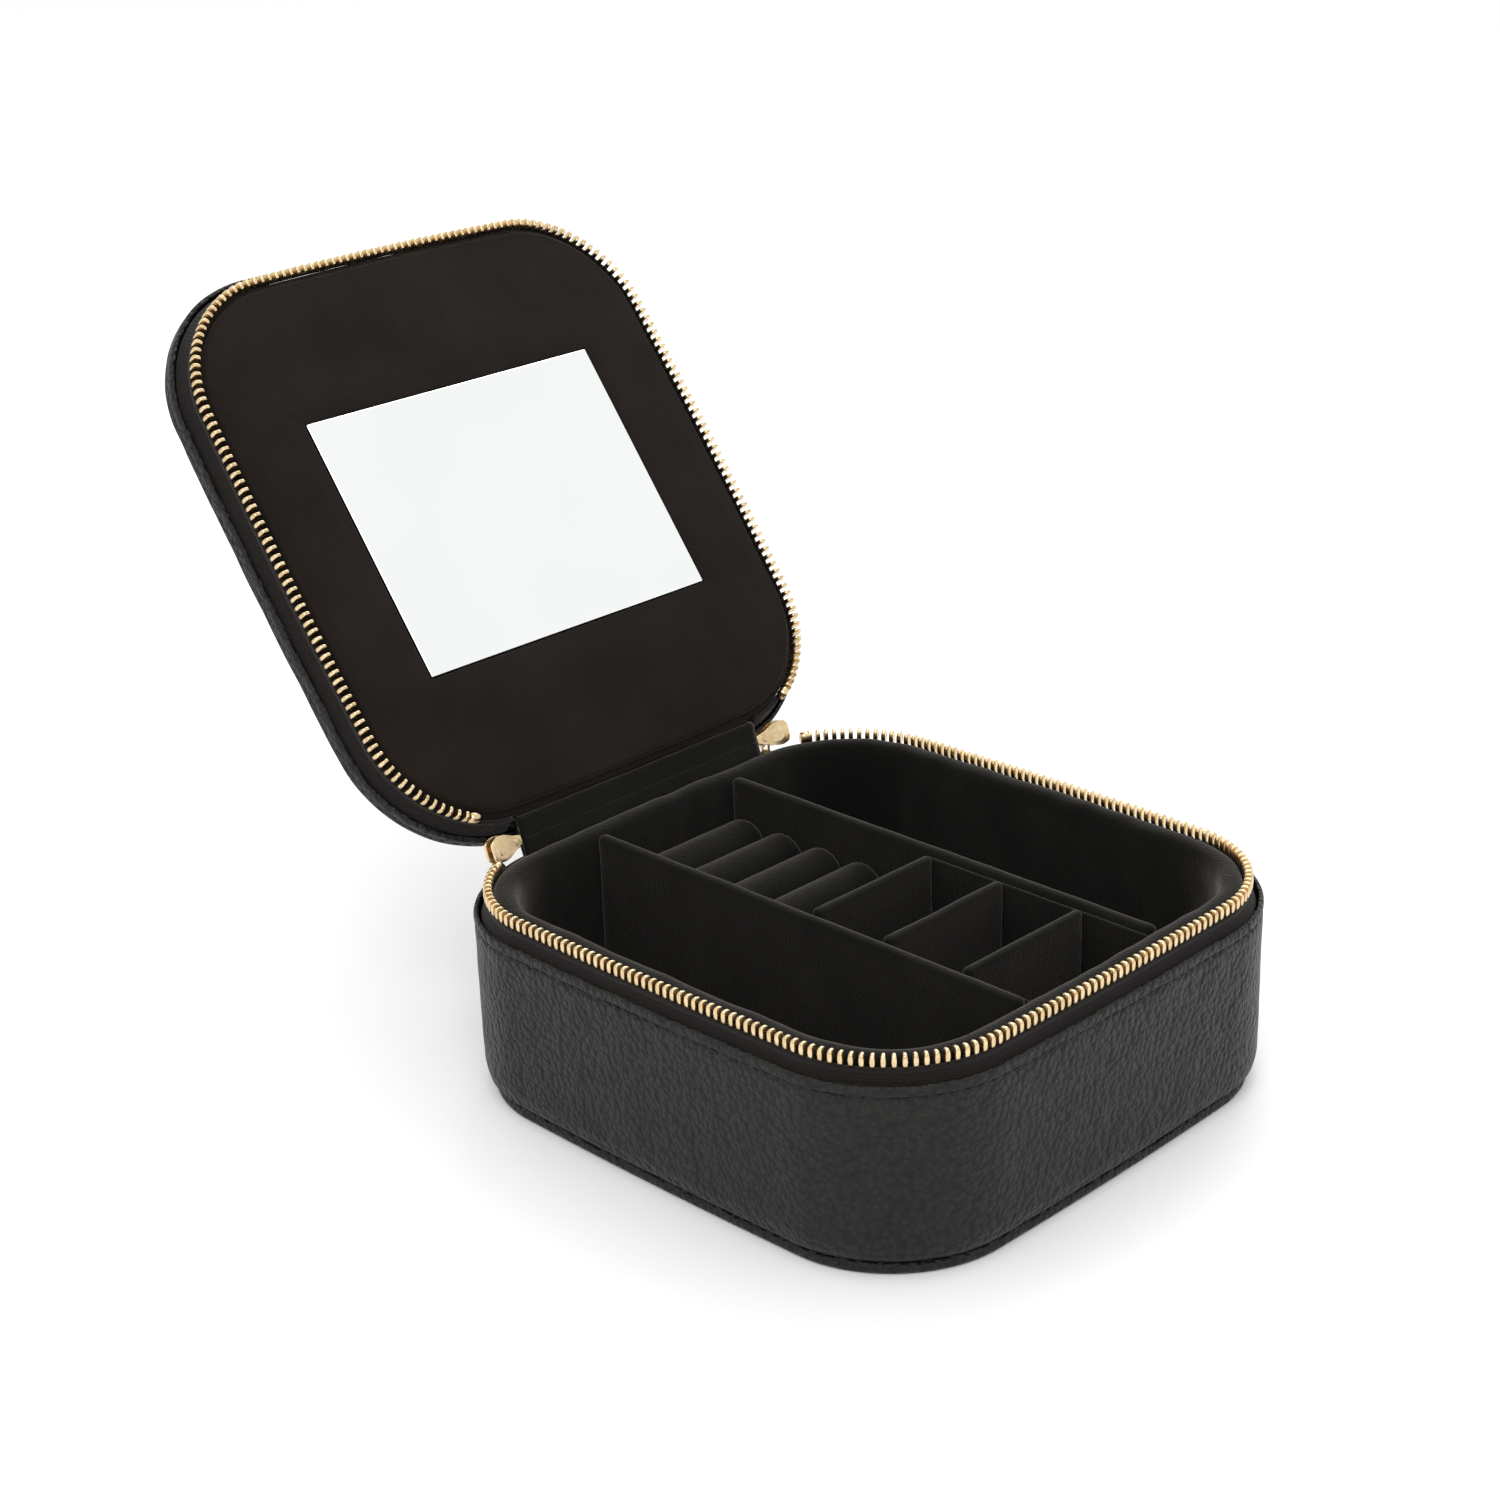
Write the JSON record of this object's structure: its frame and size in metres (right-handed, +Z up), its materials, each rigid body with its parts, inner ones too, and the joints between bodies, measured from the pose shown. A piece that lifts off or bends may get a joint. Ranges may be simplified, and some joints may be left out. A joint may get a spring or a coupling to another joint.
{
  "type": "travel jewelry case",
  "caption": "Soft square zip case with a leaning lid, a mirror inside the lid, and a velvet tray with ring rolls, small cells and long side compartments.",
  "frame": {"origin": "middle of the underside", "axes": "+Z up, +X to the right, +Y towards the spine that joins the lid to the base"},
  "size_m": [0.168, 0.2843, 0.202],
  "materials": {
    "leather": "pebbled, semi-matte",
    "zip_tape": "woven twill",
    "gold_metal": "pale gold plate, satin",
    "velvet": "short pile velvet",
    "lid_velvet": "short pile velvet, dark brown",
    "mirror": "polished",
    "board": "grey board",
    "foam": "open cell foam"
  },
  "bodies": {
    "base": {"base_bottom_panel": "leather", "base_floor_board": "board", "base_floor_lining": "velvet", "base_hinge_strip": "leather", "base_leather_wall": "leather", "base_wall_board": "board", "base_wall_foam": "foam", "base_wall_lining": "velvet", "base_zip_tape": "zip_tape", "base_zip_teeth": "gold_metal", "cell_liner_left": "velvet", "cell_liner_right": "velvet", "cross_divider_1": "velvet", "cross_divider_2": "velvet", "cross_divider_3": "velvet", "divider_left": "velvet", "divider_right": "velvet", "ring_roll_1": "velvet", "ring_roll_2": "velvet", "ring_roll_3": "velvet", "ring_roll_4": "velvet", "ring_roll_5": "velvet", "ring_roll_base": "velvet"},
    "spine": {"spine_leather": "leather", "spine_lining": "velvet", "slider_left": "gold_metal", "slider_right": "gold_metal"},
    "lid": {"lid_core_board": "board", "lid_foam": "foam", "lid_hinge_strip": "leather", "lid_leather_wall": "leather", "lid_lining_panel": "lid_velvet", "lid_outer_panel": "leather", "lid_wall_board": "board", "lid_zip_tape": "zip_tape", "lid_zip_teeth": "gold_metal", "mirror_backing": "board", "mirror_glass": "mirror"},
    "pull_left": {"pull_link_left": "gold_metal", "pull_tab_left": "gold_metal"},
    "pull_right": {"pull_link_right": "gold_metal", "pull_tab_right": "gold_metal"}
  },
  "joints": [
    {"name": "lid_fold", "type": "hinge", "parent": "spine", "child": "lid", "pos_m": [0, 0.0874, 0.06416], "axis": [1, 0, 0], "range_deg": [0, 107.2]},
    {"name": "spine_fold", "type": "hinge", "parent": "base", "child": "spine", "pos_m": [0, 0.084, 0.05455], "axis": [1, 0, 0], "range_deg": [0, 19.5]},
    {"name": "pull_left_swing", "type": "hinge", "parent": "spine", "child": "pull_left", "pos_m": [-0.05259, 0.08841, 0.05575], "axis": [1, 0, 0], "range_deg": [0, 65]},
    {"name": "pull_right_swing", "type": "hinge", "parent": "spine", "child": "pull_right", "pos_m": [0.05259, 0.08841, 0.05575], "axis": [1, 0, 0], "range_deg": [0, 65]}
  ],
  "couplings": [
    {"joint": "spine_fold", "follows": "lid_fold", "ratio": 0.1819}
  ]
}
